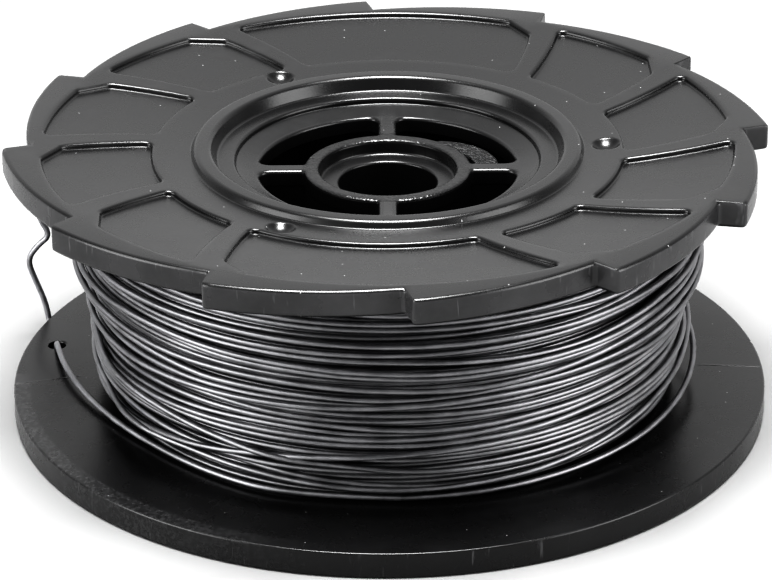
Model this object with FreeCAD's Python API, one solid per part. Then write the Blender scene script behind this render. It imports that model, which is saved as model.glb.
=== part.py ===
import FreeCAD, Part
import math
import os

# Spool of annealed tie wire for a rebar tying tool, standing on its plain flange.
# Millimetres, +Z up, origin on the spool's axis in the plane of the lower rim.

# Overall
flange_r = 50.0          # outer radius of both flanges, and of the tooth tips
spool_h = 37.6           # height over both rims
rim_t = 3.5              # flange thickness at the rim
web_t = 2.8              # flange thickness where it meets the barrel
dish = 1.8               # how far the outer faces sink from the rim to the raised ring
land_w = 4.0             # width of the flat ring at each rim
rim_round = 0.4          # rounding of the lower flange's upper edge
foot_bevel = 0.5         # bevel of the edge that it stands on

# Toothed upper flange
tooth_count = 12
tooth_depth = 3.4        # radial height of the step at each tooth
tooth_start = 3.3        # direction of the first tip, in degrees
tooth_lean = 1.0         # how far the root of a step lies behind its tip, in degrees
tooth_bulge = 1.35       # how far a tooth's back bows out from its chord

# Shallow pockets in the upper face, one to a tooth, and two that span two teeth
pocket_depth = 0.7
pocket_inner_r = 30.7
pocket_outer_r = 44.9
pocket_shoulder_r = 42.2  # radius where the chamfered corner starts
pocket_inner_lead = 7.0   # angles from the tooth's tip, in degrees
pocket_shoulder_lead = 1.3
pocket_chamfer_end = 4.2
pocket_outer_end = 24.5
pocket_inner_end = 17.5
pocket_corner_r = 1.2
wide_pockets = (2, 8)     # teeth at which a pocket spans two teeth

# Injection gates, three rounded hollows beside the raised ring
gate_ball_r = 2.3
gate_circle_r = 28.5
gate_sink = 1.2
gate_directions = (1.3, 120.5, 242.0)

# Raised ring and stepped recess for the tool's drive
ring_outer_r = 25.6
ring_inner_r = 22.95
ring_h = 1.0
ring_round = 0.5
recess_step1_r = 22.25
recess_step1_depth = 1.9  # below the ring's top
recess_step2_r = 19.8
recess_step2_depth = 2.7
recess_floor_depth = 3.5
web_plate_t = 2.0         # floor of the recess

# Hub tube, its ribs and the openings between them
hub_outer_r = 10.93
hub_seat_r = 8.92
hub_seat_depth = 2.0
bore_r = 6.4
hub_foot_z = 1.8          # the hub ends this far above the resting plane
rib_count = 4
rib_t = 2.1
slot_outer_r = 16.9
slot_corner_r = 1.4

# Arched anchor bar for the wire's inner end, in the first opening
anchor_w = 2.6
anchor_t = 2.0
anchor_sink = 0.5         # how far its top lies below the recess floor
anchor_inner_r = 10.75    # radius of its middle line at the hub end
anchor_outer_r = 13.25    # and at the rib end
anchor_directions = (56.3, 28.2, 2.6)

# Barrel under the winding
barrel_r = 29.0
barrel_t = 2.5

# Hole and notch for the wire's end in the lower flange
wire_hole_r = 1.15
wire_hole_circle_r = 45.9
wire_hole_direction = 169.2
notch_w = 1.4
notch_depth = 1.15
notch_heading = 99.0      # direction that the notch runs in, in degrees

# Winding: narrow at its foot, slack at its waist and widest below the upper flange
wire_d = 0.8
winding_gap = 0.1
winding_foot_r = 36.6     # radius of the lowest turns
winding_foot_h = 1.6      # height of the narrow stretch at the foot
winding_waist_r = 39.0
winding_waist_z = (8.4, 16.5)
winding_top_r = 40.9
winding_top_drop = (14.6, 6.6)  # depths of the widest stretch's ends below the upper rim
winding_steps = 3         # layers that end in a step of one wire at each end

# Route of the wire's free end: along the lowest turn, over the flange, down the hole,
# along the notch, round the rim and up in a bent loop.
end_route = [
    (1.3, -37.6, 4.62),
    (-11.7, -35.8, 4.60),
    (-23.3, -29.6, 4.60),
    (-33.8, -18.9, 4.60),
    (-39.8, -9.2, 4.75),
    (-43.2, -1.2, 5.15),
    (-44.6, 4.9, 5.0),
    (-45.08, 8.05, 4.45),
    (-45.08, 8.05, 0.62),
    (-45.75, 12.9, 0.62),
    (-46.9, 19.9, 0.62),
    (-47.5, 20.3, 4.6),
    (-48.9, 20.2, 8.4),
    (-49.7, 20.0, 11.2),
    (-48.2, 19.9, 13.4),
    (-46.3, 19.8, 15.0),
    (-47.8, 19.7, 17.6),
    (-48.5, 19.5, 20.8),
]

Z = FreeCAD.Vector(0, 0, 1)
ORIGIN = FreeCAD.Vector(0, 0, 0)
overshoot = 1.0           # how far cutting tools run past a face

chamber_r = barrel_r - barrel_t
land_r = flange_r - land_w
tooth_pitch = 360.0 / tooth_count
root_r = flange_r - tooth_depth
ring_top_z = spool_h - dish + ring_h
recess_floor_z = ring_top_z - recess_floor_depth
plate_foot_z = recess_floor_z - web_plate_t


def polar(radius, degrees, z=0.0):
    """Point at a radius and direction about the spool's axis."""
    angle = math.radians(degrees)
    return FreeCAD.Vector(radius * math.cos(angle), radius * math.sin(angle), z)


def outline(corners):
    """Closed wire through the corners (point, radius), each corner rounded by its radius."""
    count = len(corners)
    edges = []
    starts = []
    ends = []
    arcs = []
    for i, (point, radius) in enumerate(corners):
        before = (corners[i - 1][0] - point).normalize()
        after = (corners[(i + 1) % count][0] - point).normalize()
        turn = before.getAngle(after)
        if radius <= 0.0:
            starts.append(point)
            ends.append(point)
            arcs.append(None)
            continue
        reach = radius / math.tan(turn / 2.0)
        bisector = (before + after).normalize()
        centre = point + bisector * (radius / math.sin(turn / 2.0))
        starts.append(point + before * reach)
        ends.append(point + after * reach)
        arcs.append(centre - bisector * radius)
    for i in range(count):
        if arcs[i] is not None:
            edges.append(Part.Arc(starts[i], arcs[i], ends[i]).toShape())
        edges.append(Part.makeLine(ends[i], starts[(i + 1) % count]))
    return Part.Wire(edges)


def turned(profile):
    """Solid turned about the Z axis from (radius, height, rounding) corners."""
    corners = [(FreeCAD.Vector(r, 0, z), rounding) for r, z, rounding in profile]
    return Part.Face(outline(corners)).revolve(ORIGIN, Z, 360)


def prism(wire, z0, z1):
    """Upright solid between two heights on a closed wire drawn at z = 0."""
    solid = Part.Face(wire).extrude(Z * (z1 - z0))
    solid.translate(Z * z0)
    return solid


def dish_height(r):
    """Depth of a dished outer face below its rim at radius r."""
    if r >= land_r:
        return 0.0
    return dish * (land_r - r) / (land_r - ring_outer_r)


def flange_inner_height(r):
    """Height of the lower flange's inner face above the resting plane."""
    barrel_level = dish_height(barrel_r) + web_t
    return rim_t + (barrel_level - rim_t) * (flange_r - r) / (flange_r - barrel_r)


def spool_blank():
    """Turned blank of the moulded spool, before its teeth, pockets and openings."""
    inner_z = flange_inner_height(barrel_r)
    profile = [
        (chamber_r, dish_height(chamber_r), 0.0),
        (land_r, 0.0, 0.0),
        (flange_r - foot_bevel, 0.0, 0.0),
        (flange_r, foot_bevel, 0.0),
        (flange_r, rim_t, rim_round),
        (barrel_r, inner_z, 0.0),
        (barrel_r, spool_h - inner_z, 0.0),
        (flange_r, spool_h - rim_t, 0.0),
        (flange_r, spool_h, 0.0),
        (land_r, spool_h, 0.0),
        (ring_outer_r, spool_h - dish, 0.0),
        (ring_outer_r - 0.5, ring_top_z, ring_round),
        (ring_inner_r, ring_top_z, ring_round),
        (recess_step1_r, ring_top_z - recess_step1_depth, 0.4),
        (recess_step2_r, ring_top_z - recess_step1_depth, 0.0),
        (recess_step2_r, ring_top_z - recess_step2_depth, 0.0),
        (slot_outer_r, recess_floor_z, 0.0),
        (hub_seat_r, recess_floor_z, 0.0),
        (hub_seat_r, recess_floor_z - hub_seat_depth, 0.0),
        (bore_r, recess_floor_z - hub_seat_depth, 0.0),
        (bore_r, hub_foot_z, 0.0),
        (hub_outer_r, hub_foot_z, 0.0),
        (hub_outer_r, plate_foot_z, 0.0),
        (chamber_r, plate_foot_z, 0.0),
    ]
    return turned(profile)


def ribs():
    """Upright ribs that tie the hub tube to the barrel under the recess floor."""
    middle_r = (hub_outer_r + hub_seat_r) / 2.0
    end_r = (barrel_r + chamber_r) / 2.0
    solids = []
    for i in range(rib_count):
        rib = Part.makeBox(
            end_r - middle_r, rib_t, plate_foot_z + overshoot - hub_foot_z,
            FreeCAD.Vector(middle_r, -rib_t / 2.0, hub_foot_z))
        rib.rotate(ORIGIN, Z, 360.0 * i / rib_count)
        solids.append(rib)
    return solids


def slot(i):
    """Opening between two ribs through the recess floor, with rounded corners."""
    middle = 360.0 * (i + 0.5) / rib_count
    half = 180.0 / rib_count
    ring = Part.makeCylinder(slot_outer_r, web_plate_t + 2 * overshoot, Z * (plate_foot_z - overshoot))
    ring = ring.cut(Part.makeCylinder(
        hub_outer_r, web_plate_t + 2 * overshoot, Z * (plate_foot_z - overshoot)))
    inset = rib_t / 2.0
    apex = polar(inset / math.sin(math.radians(half)), middle)
    reach = 2.0 * slot_outer_r
    first = apex + polar(reach, middle - half)
    last = apex + polar(reach, middle + half)
    wedge = Part.makePolygon([apex, first, last, apex])
    opening = ring.common(prism(wedge, plate_foot_z - overshoot, recess_floor_z + overshoot))
    corners = [e for e in opening.Edges if is_upright(e) and outer_end(e)]
    return opening.makeFillet(slot_corner_r, corners)


def is_upright(edge):
    """Whether an edge is a straight vertical one."""
    a = edge.Vertexes[0].Point
    b = edge.Vertexes[-1].Point
    return math.hypot(a.x - b.x, a.y - b.y) < 1e-6 and abs(a.z - b.z) > 1e-3


def outer_end(edge):
    """Whether an upright edge of a slot lies on the slot's outer side."""
    p = edge.Vertexes[0].Point
    return math.hypot(p.x, p.y) > (slot_outer_r + hub_outer_r) / 2.0


def anchor_bar():
    """Arched bar from the hub tube to a rib, which holds the wire's inner end."""
    hub_end, middle, rib_end = anchor_directions
    half = anchor_w / 2.0
    outer = Part.Arc(
        polar(anchor_inner_r + half, hub_end), polar(anchor_outer_r + half, middle),
        polar(anchor_outer_r + half, rib_end)).toShape()
    inner = Part.Arc(
        polar(anchor_outer_r - half, rib_end), polar(anchor_outer_r - half, middle),
        polar(anchor_inner_r - half, hub_end)).toShape()
    closing = [
        Part.makeLine(polar(anchor_outer_r + half, rib_end), polar(anchor_outer_r - half, rib_end)),
        Part.makeLine(polar(anchor_inner_r - half, hub_end), polar(anchor_inner_r + half, hub_end)),
    ]
    wire = Part.Wire([outer, closing[0], inner, closing[1]])
    top = recess_floor_z - anchor_sink
    return prism(wire, top - anchor_t, top)


def ratchet_outline():
    """Closed wire of the toothed rim: each tooth falls in a bowed line, then steps out."""
    edges = []
    for i in range(tooth_count):
        tip_direction = tooth_start + i * tooth_pitch
        tip = polar(flange_r, tip_direction)
        root = polar(root_r, tip_direction + tooth_pitch - tooth_lean)
        next_tip = polar(flange_r, tip_direction + tooth_pitch)
        chord_middle = (tip + root) * 0.5
        bulge = chord_middle + (chord_middle - ORIGIN).normalize() * tooth_bulge
        edges.append(Part.Arc(tip, bulge, root).toShape())
        edges.append(Part.makeLine(root, next_tip))
    return Part.Wire(edges)


def tooth_waste():
    """Ring of material outside the teeth."""
    z0 = spool_h - rim_t - overshoot
    z1 = spool_h + overshoot
    ring = Part.makeCylinder(flange_r + overshoot, z1 - z0, Z * z0)
    return ring.cut(prism(ratchet_outline(), z0, z1))


def pocket_outline(tip_direction, span):
    """Closed wire of one pocket, seen from above, that spans the given number of teeth."""
    extra = (span - 1) * tooth_pitch
    inner_start = polar(pocket_inner_r, tip_direction - pocket_inner_lead)
    shoulder = polar(pocket_shoulder_r, tip_direction - pocket_shoulder_lead)
    outer_start = polar(pocket_outer_r, tip_direction + pocket_chamfer_end)
    outer_end_point = polar(pocket_outer_r, tip_direction + pocket_outer_end + extra)
    inner_end = polar(pocket_inner_r, tip_direction + pocket_inner_end + extra)
    outer_middle = polar(
        pocket_outer_r, tip_direction + (pocket_chamfer_end + pocket_outer_end + extra) / 2.0)
    inner_middle = polar(
        pocket_inner_r, tip_direction + (pocket_inner_end + extra - pocket_inner_lead) / 2.0)
    return Part.Wire([
        Part.makeLine(inner_start, shoulder),
        Part.makeLine(shoulder, outer_start),
        Part.Arc(outer_start, outer_middle, outer_end_point).toShape(),
        Part.makeLine(outer_end_point, inner_end),
        Part.Arc(inner_end, inner_middle, inner_start).toShape(),
    ])


def pocket_layer():
    """Turned layer whose underside follows the dished face at the pockets' depth."""
    top = spool_h + overshoot
    floor = spool_h - pocket_depth
    return turned([
        (land_r, floor, 0.0),
        (land_r, top, 0.0),
        (ring_outer_r, top, 0.0),
        (ring_outer_r, floor - dish, 0.0),
    ])


def pockets():
    """Cutters for all the pockets of the upper face."""
    layer = pocket_layer()
    cutters = []
    tooth = 0
    while tooth < tooth_count:
        span = 2 if tooth in wide_pockets else 1
        column = prism(
            pocket_outline(tooth_start + tooth * tooth_pitch, span),
            spool_h - dish - 2 * overshoot, spool_h + overshoot)
        upright = [e for e in column.Edges if is_upright(e)]
        cutters.append(column.makeFillet(pocket_corner_r, upright).common(layer))
        tooth += span
    return cutters


def gates():
    """Cutters for the rounded hollows left by the injection gates."""
    face_z = spool_h - dish_height(gate_circle_r)
    centre_z = face_z - gate_sink + gate_ball_r
    return [Part.makeSphere(gate_ball_r, polar(gate_circle_r, direction, centre_z))
            for direction in gate_directions]


def wire_hole():
    """Cutters for the hole through the lower flange and the notch below it."""
    centre = polar(wire_hole_circle_r, wire_hole_direction)
    hole = Part.makeCylinder(wire_hole_r, rim_t + 2 * overshoot + dish, centre - Z * overshoot)
    notch = Part.makeBox(
        2.0 * land_w + 3.0 * wire_hole_r, notch_w, notch_depth + overshoot,
        centre + FreeCAD.Vector(0, -notch_w / 2.0, -overshoot))
    notch.rotate(centre, Z, notch_heading)
    return [hole, notch]


def spool():
    """The moulded spool as one solid."""
    body = spool_blank().fuse(ribs())
    body = body.cut([slot(i) for i in range(rib_count)])
    body = body.fuse(anchor_bar())
    body = body.cut([tooth_waste()] + pockets() + gates() + wire_hole())
    return body.removeSplitter()


def stair(first, last, steps):
    """Corners of a stair between two (radius, height) corners, for layers that end in steps."""
    corners = []
    for i in range(steps):
        r = first[0] + (last[0] - first[0]) * (i + 1) / steps
        z = first[1] + (last[1] - first[1]) * i / steps
        corners.append((r, z, 0.0))
        corners.append((r, z + (last[1] - first[1]) / steps, 0.0))
    return corners


def winding():
    """The wound wire as one turned solid with its bore round the barrel."""
    bore = barrel_r + winding_gap
    foot = flange_inner_height(winding_foot_r) + winding_gap
    foot_in = flange_inner_height(bore) + winding_gap
    head_r = winding_top_r - winding_steps * wire_d
    head = spool_h - flange_inner_height(head_r) - winding_gap
    head_in = spool_h - flange_inner_height(bore) - winding_gap
    waist_foot, waist_head = winding_waist_z
    top_foot, top_head = [spool_h - drop for drop in winding_top_drop]
    foot_corner = (winding_foot_r, foot + winding_foot_h)
    profile = [
        (bore, foot_in, 0.0),
        (winding_foot_r, foot, 0.0),
        (*foot_corner, 0.0),
    ]
    profile += stair(foot_corner, (winding_waist_r, waist_foot), winding_steps)
    profile += [
        (winding_waist_r, waist_head, 0.0),
        (winding_top_r, top_foot, 0.0),
        (winding_top_r, top_head, 0.0),
    ]
    profile += stair((winding_top_r, top_head), (head_r, head), winding_steps)
    profile.append((bore, head_in, 0.0))
    return turned(profile)


def cord_path(points):
    """Wire of straight runs joined by tangent arcs, and the radii of its arcs."""
    route = [FreeCAD.Vector(*p) for p in points]
    edges = []
    radii = []
    start = route[0]
    for i in range(1, len(route) - 1):
        corner = route[i]
        back = route[i - 1] - corner
        ahead = route[i + 1] - corner
        reach = 0.45 * min(back.Length, ahead.Length)
        back.normalize()
        ahead.normalize()
        half_angle = back.getAngle(ahead) / 2.0
        radius = reach * math.tan(half_angle)
        bisector = (back + ahead).normalize()
        centre = corner + bisector * (radius / math.sin(half_angle))
        entry = corner + back * reach
        leave = corner + ahead * reach
        edges.append(Part.LineSegment(start, entry).toShape())
        edges.append(Part.Arc(entry, centre - bisector * radius, leave).toShape())
        radii.append(radius)
        start = leave
    edges.append(Part.LineSegment(start, route[-1]).toShape())
    return Part.Wire(edges), radii


def wire_end():
    """The wire's free end as a plain tube."""
    path, radii = cord_path(end_route)
    heading = FreeCAD.Vector(*end_route[1]) - FreeCAD.Vector(*end_route[0])
    circle = Part.Circle(FreeCAD.Vector(*end_route[0]), heading, wire_d / 2.0).toShape()
    tube = path.makePipeShell([Part.Wire(circle)], True, True)
    section = math.pi * wire_d ** 2 / 4.0
    print("wire_end arc radii:", ", ".join("%.2f" % r for r in radii))
    print("wire_end length %.1f, volume against section times length %.4f"
          % (path.Length, tube.Volume / (section * path.Length)))
    return tube


def main():
    """Build every piece and write it to its own file."""
    os.makedirs("parts", exist_ok=True)
    pieces = {
        "spool": spool(),
        "wire_coil": winding(),
        "wire_end": wire_end(),
    }
    for name, shape in pieces.items():
        solid = shape.Solids[0] if len(shape.Solids) == 1 else shape
        box = solid.BoundBox
        print("%s: solids %d, valid %s, volume %.1f, faces %d, z %.2f to %.2f"
              % (name, len(shape.Solids), solid.isValid(), solid.Volume, len(solid.Faces),
                 box.ZMin, box.ZMax))
        solid.exportStep("parts/%s.step" % name)


main()
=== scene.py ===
"""Spool of annealed tie wire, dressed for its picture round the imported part.

The spool stands on its plain flange, +Z up, with the viewer of the photograph towards -Y.
Lengths are metres, written as millimetres times MM. Angles are degrees, anticlockwise from +X.
"""

import logging
import math
from dataclasses import dataclass
from enum import Enum
from functools import cached_property, reduce
from typing import Callable, Sequence

import bmesh
import bpy
import numpy as np
from bmesh.types import BMEdge, BMFace
from bpy.types import Curve, Material, Node, NodeSocket, Object
from mathutils import Matrix, Vector


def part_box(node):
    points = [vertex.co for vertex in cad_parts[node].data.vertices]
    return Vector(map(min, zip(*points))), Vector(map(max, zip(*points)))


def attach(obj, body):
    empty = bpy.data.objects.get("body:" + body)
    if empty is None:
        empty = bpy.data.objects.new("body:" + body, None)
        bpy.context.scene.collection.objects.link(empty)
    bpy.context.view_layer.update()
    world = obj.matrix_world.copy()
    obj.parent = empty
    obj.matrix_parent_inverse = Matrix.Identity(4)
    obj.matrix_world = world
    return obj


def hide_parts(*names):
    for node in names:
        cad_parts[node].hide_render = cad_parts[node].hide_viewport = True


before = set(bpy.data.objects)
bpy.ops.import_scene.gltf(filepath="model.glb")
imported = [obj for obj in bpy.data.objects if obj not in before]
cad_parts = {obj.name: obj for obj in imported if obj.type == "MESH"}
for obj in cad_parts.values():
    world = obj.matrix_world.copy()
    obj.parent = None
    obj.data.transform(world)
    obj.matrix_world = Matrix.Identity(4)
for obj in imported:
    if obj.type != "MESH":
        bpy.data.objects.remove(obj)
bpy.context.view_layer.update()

MM = 0.001
TINY = 0.01 * MM
HAIR = TINY / 10.0
SKIN = 0.004 * MM
CUT_OVERSHOOT = 1.0 * MM
UP = Vector((0.0, 0.0, 1.0))

log = logging.getLogger("spool")


class Element(Enum):
    """What a selection is made of."""

    VERTEX = "VERT"
    EDGE = "EDGE"
    FACE = "FACE"


class Slot(Enum):
    """Material slots of the part's record."""

    PLASTIC = "spool_plastic"
    WIRE = "annealed_wire"


class Facing(Enum):
    """Which way a face looks."""

    UP = "up"
    DOWN = "down"
    SIDE = "side"


class Joining(Enum):
    """What is done with the pieces that meet another one."""

    UNITE = "UNION"
    CUT = "DIFFERENCE"


# Modelling helpers


def deselect_all() -> None:
    """Leave edit mode and deselect every object."""
    if bpy.context.object is not None and bpy.context.object.mode != "OBJECT":
        bpy.ops.object.mode_set(mode="OBJECT")
    bpy.ops.object.select_all(action="DESELECT")


def focus(piece: Object) -> None:
    """Make one piece the only selected one, and the active one.

    Args:
        piece: The piece to work on.
    """
    deselect_all()
    piece.select_set(True)
    bpy.context.view_layer.objects.active = piece


def edit(piece: Object) -> None:
    """Open a piece in edit mode with nothing picked.

    Args:
        piece: The piece to work on.
    """
    focus(piece)
    bpy.ops.object.mode_set(mode="EDIT")
    bpy.ops.mesh.select_all(action="DESELECT")


def close_edit() -> None:
    """Go back to object mode."""
    bpy.ops.object.mode_set(mode="OBJECT")


def pick(kind: Element, test: Callable[..., bool]) -> int:
    """Select the elements of the piece in edit mode that pass a test, and no others.

    Args:
        kind: Vertices, edges or faces.
        test: Says of one element whether it is picked.

    Returns:
        How many elements were picked.
    """
    bpy.ops.mesh.select_mode(type=kind.value)
    bpy.ops.mesh.select_all(action="DESELECT")
    data = bpy.context.edit_object.data
    mesh = bmesh.from_edit_mesh(data)
    elements = {Element.VERTEX: mesh.verts, Element.EDGE: mesh.edges, Element.FACE: mesh.faces}[kind]
    picked = [element for element in elements if test(element)]
    for element in picked:
        element.select_set(True)
    mesh.select_flush_mode()
    bmesh.update_edit_mesh(data)
    return len(picked)


def turn(degrees: float) -> None:
    """Turn what is picked about the Z axis.

    Args:
        degrees: The angle, anticlockwise seen from above.
    """
    bpy.ops.transform.rotate(
        value=-math.radians(degrees), orient_axis="Z", center_override=(0.0, 0.0, 0.0))


def draw_in(share: float) -> None:
    """Scale what is picked towards the Z axis.

    Args:
        share: The new distance from the axis over the old one.
    """
    bpy.ops.transform.resize(value=(share, share, 1.0), center_override=(0.0, 0.0, 0.0))


def radius_of(point: Vector) -> float:
    """Distance of a point from the Z axis."""
    return math.hypot(point.x, point.y)


def direction_of(point: Vector) -> float:
    """Direction of a point seen from the Z axis, in degrees."""
    return math.degrees(math.atan2(point.y, point.x))


def wrapped(degrees: float, period: float = 360.0) -> float:
    """Angle brought within half a period of zero."""
    return (degrees + period / 2.0) % period - period / 2.0


def polar(radius: float, degrees: float, z: float = 0.0) -> Vector:
    """Point at a radius, direction and height about the Z axis."""
    angle = math.radians(degrees)
    return Vector((radius * math.cos(angle), radius * math.sin(angle), z))


def about_z(degrees: float) -> Matrix:
    """Turn about the Z axis."""
    return Matrix.Rotation(math.radians(degrees), 4, "Z")


def facing(face: BMFace) -> Facing:
    """Which way a face looks.

    Args:
        face: The face to judge.

    Returns:
        Up, down or sideways.
    """
    level = 0.7
    if abs(face.normal.z) <= level:
        return Facing.SIDE
    return Facing.UP if face.normal.z > 0.0 else Facing.DOWN


def is_brow(edge: BMEdge, side: Facing = Facing.UP) -> bool:
    """Whether an edge joins an upright wall to a face that looks the given way."""
    ways = {facing(face) for face in edge.link_faces}
    return ways == {side, Facing.SIDE}


def is_upright(edge: BMEdge) -> bool:
    """Whether an edge stands upright."""
    a, b = (vertex.co for vertex in edge.verts)
    return math.hypot(a.x - b.x, a.y - b.y) < TINY and abs(a.z - b.z) > TINY


def rounded(corners: Sequence[tuple[float, float, float]], segments: int = 4,
            closed: bool = True) -> list[Vector]:
    """Outline through corners, each rounded by its own radius.

    Args:
        corners: First and second coordinate and rounding radius of each corner.
        segments: Straight pieces in each rounding.
        closed: Whether the last corner joins the first.

    Returns:
        The outline's points, in two coordinates.
    """
    outline = []
    count = len(corners)
    for i, (u, v, radius) in enumerate(corners):
        corner = Vector((u, v))
        if radius <= 0.0 or (not closed and i in (0, count - 1)):
            outline.append(corner)
            continue
        back = (Vector(corners[i - 1][:2]) - corner).normalized()
        ahead = (Vector(corners[(i + 1) % count][:2]) - corner).normalized()
        half = back.angle(ahead) / 2.0
        reach = radius / math.tan(half)
        centre = corner + (back + ahead).normalized() * (radius / math.sin(half))
        first = corner + back * reach - centre
        last = corner + ahead * reach - centre
        arc = first.angle(last)
        for step in range(segments + 1):
            share = step / segments
            outline.append(centre + (first * math.sin(arc * (1.0 - share))
                                     + last * math.sin(arc * share)) / math.sin(arc))
    return outline


def extrude(step: Vector) -> None:
    """Extrude what is picked by a step."""
    bpy.ops.mesh.extrude_region_move(TRANSFORM_OT_translate={"value": step})


def round_edges(reach: float, segments: int, **options: bool) -> None:
    """Round the picked edges."""
    bpy.ops.mesh.bevel(
        offset=reach, segments=segments, affect="EDGES", clamp_overlap=False, **options)


def draw_line(name: str, points: Sequence[Vector], closed: bool = True) -> Object:
    """Draw a line by extruding one vertex from point to point.

    Args:
        name: The new piece's name.
        points: Places of the line's vertices.
        closed: Whether the last vertex joins the first.

    Returns:
        The piece, open in edit mode with its whole line picked.
    """
    deselect_all()
    bpy.ops.mesh.primitive_plane_add(size=MM)
    piece = bpy.context.object
    piece.name = name
    piece.data.name = name
    bpy.ops.object.mode_set(mode="EDIT")
    bpy.ops.mesh.select_mode(type="VERT")
    bpy.ops.mesh.select_all(action="SELECT")
    bpy.ops.mesh.merge(type="CENTER")
    bpy.ops.transform.translate(value=points[0])
    for before, after in zip(points, points[1:]):
        extrude(after - before)
    if closed:
        ends = (points[0], points[-1])
        pick(Element.VERTEX, lambda v: min((v.co - end).length for end in ends) < HAIR)
        bpy.ops.mesh.edge_face_add()
    bpy.ops.mesh.select_all(action="SELECT")
    return piece


def lathe(name: str, outline: Sequence[Vector], steps: int, start: float = 0.0,
          closed: bool = True) -> Object:
    """Spin an outline of radius and height round the Z axis into a closed skin.

    Args:
        name: The new piece's name.
        outline: Radius and height of each point.
        steps: Columns in the full turn.
        start: Direction of the first column in degrees.
        closed: Whether the outline closes on itself; an open one starts and ends on the axis.

    Returns:
        The piece, in object mode.
    """
    points = [polar(point.x, start, point.y) for point in outline]
    piece = draw_line(name, points, closed)
    bpy.ops.mesh.spin(steps=steps, angle=math.tau, center=(0.0, 0.0, 0.0), axis=(0.0, 0.0, 1.0))
    bpy.ops.mesh.select_all(action="SELECT")
    bpy.ops.mesh.remove_doubles(threshold=HAIR)
    bpy.ops.mesh.normals_make_consistent(inside=False)
    close_edit()
    return piece


def prism(name: str, outline: Sequence[Vector], foot: float, height: float) -> Object:
    """Upright block on an outline seen from above.

    Args:
        name: The new piece's name.
        outline: The outline's points, in x and y.
        foot: Height of the block's foot.
        height: How tall the block is.

    Returns:
        The piece, in object mode.
    """
    piece = draw_line(name, [Vector((point.x, point.y, foot)) for point in outline])
    bpy.ops.mesh.edge_face_add()
    extrude(UP * height)
    bpy.ops.mesh.select_all(action="SELECT")
    bpy.ops.mesh.normals_make_consistent(inside=False)
    close_edit()
    return piece


def apply_modifier(piece: Object, kind: str, **values: object) -> None:
    """Give a piece a modifier and apply it.

    Args:
        piece: The piece to work on.
        kind: The modifier's type.
        **values: Its settings.
    """
    modifier = piece.modifiers.new(kind.lower(), kind)
    for key, value in values.items():
        setattr(modifier, key, value)
    focus(piece)
    bpy.ops.object.modifier_apply(modifier=modifier.name)


def combine(piece: Object, others: Sequence[Object], how: Joining) -> None:
    """Unite a piece with others, or cut them from it, and remove them.

    Args:
        piece: The piece that is changed.
        others: The pieces that meet it.
        how: Whether they are added or cut away.
    """
    for other in others:
        apply_modifier(piece, "BOOLEAN", operation=how.value, solver="EXACT", object=other)
        bpy.data.objects.remove(other)


def move_piece(piece: Object, matrix: Matrix) -> None:
    """Put a piece in its place, with the place in its mesh.

    Args:
        piece: The piece to move.
        matrix: Its new place and turn.
    """
    piece.matrix_world = matrix
    focus(piece)
    bpy.ops.object.transform_apply(location=True, rotation=True, scale=True)


def add_to_scene(name: str, data: bpy.types.ID) -> Object:
    """Make an object and put it in the scene.

    Args:
        name: The object's name.
        data: Its mesh, curve, light or camera.

    Returns:
        The object.
    """
    piece = bpy.data.objects.new(name, data)
    bpy.context.scene.collection.objects.link(piece)
    return piece


def repeated(piece: Object, count: int) -> list[Object]:
    """Repeat a piece evenly round the Z axis, each copy with its own mesh.

    Args:
        piece: The piece, in its first place.
        count: How many there are to be.

    Returns:
        The piece and its copies.
    """
    pieces = [piece] + [add_to_scene(piece.name, piece.data.copy()) for _ in range(1, count)]
    for i, copy in enumerate(pieces):
        move_piece(copy, about_z(360.0 * i / count))
    return pieces


def smooth(piece: Object, degrees: float) -> None:
    """Shade a piece smooth, with creases where its faces meet at more than an angle."""
    focus(piece)
    bpy.ops.object.shade_smooth_by_angle(angle=math.radians(degrees))


def report(piece: Object) -> None:
    """Log a finished piece.

    Args:
        piece: The piece, whose name, faces and size are logged.
    """
    corners = [Vector(corner) for corner in piece.bound_box]
    extent = [max(c[i] for c in corners) - min(c[i] for c in corners) for i in range(3)]
    faces = len(piece.data.polygons) if piece.type == "MESH" else 0
    log.info("%s: %d faces, %.1f x %.1f x %.1f mm", piece.name, faces, *(e / MM for e in extent))


# Material helpers


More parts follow.
